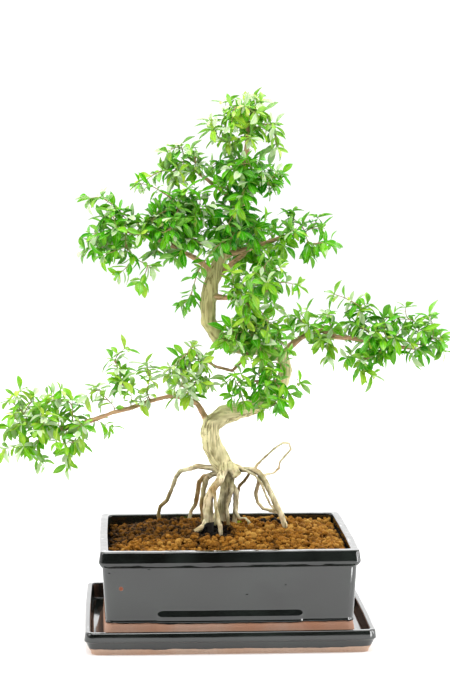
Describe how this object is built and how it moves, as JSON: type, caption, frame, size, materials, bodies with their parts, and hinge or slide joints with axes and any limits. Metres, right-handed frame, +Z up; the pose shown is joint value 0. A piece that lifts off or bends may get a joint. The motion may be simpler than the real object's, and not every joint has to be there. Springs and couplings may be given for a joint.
{
  "type": "bonsai tree in pot",
  "caption": "Exposed-root bonsai with a winding trunk and airy leaf pads, growing in a rectangular glazed pot that stands on its matching drip tray.",
  "frame": {"origin": "centre of the drip tray's flat underside, where it rests on the table", "axes": "+X along the pot's long side towards the right-hand branch, -Y towards the front of the pot, +Z up along the tree"},
  "size_m": [0.5138, 0.2488, 0.5982],
  "materials": {
    "tray_glaze": "gloss",
    "pot_glaze": "gloss",
    "mesh_plastic": "matte",
    "clip_wire": "satin",
    "akadama_soil": "matte",
    "bark": "matte",
    "leaves": "satin"
  },
  "bodies": {
    "root": {"drip_tray": "tray_glaze", "pot": "pot_glaze", "drain_mesh_left": "mesh_plastic", "drain_mesh_right": "mesh_plastic", "mesh_clip_left": "clip_wire", "mesh_clip_right": "clip_wire", "soil": "akadama_soil", "tree_wood": "bark", "foliage_crown": "leaves", "foliage_upper_centre": "leaves", "foliage_upper_left": "leaves", "foliage_left_tip": "leaves", "foliage_left_inner": "leaves", "foliage_heart": "leaves", "foliage_upper_right": "leaves", "foliage_back": "leaves", "foliage_centre": "leaves", "foliage_below_centre": "leaves", "foliage_right_inner": "leaves", "foliage_right_middle": "leaves", "foliage_right_tip": "leaves", "foliage_lower_front": "leaves", "foliage_lower_inner": "leaves", "foliage_lower_left": "leaves", "foliage_lower_left_tip": "leaves"}
  },
  "joints": []
}
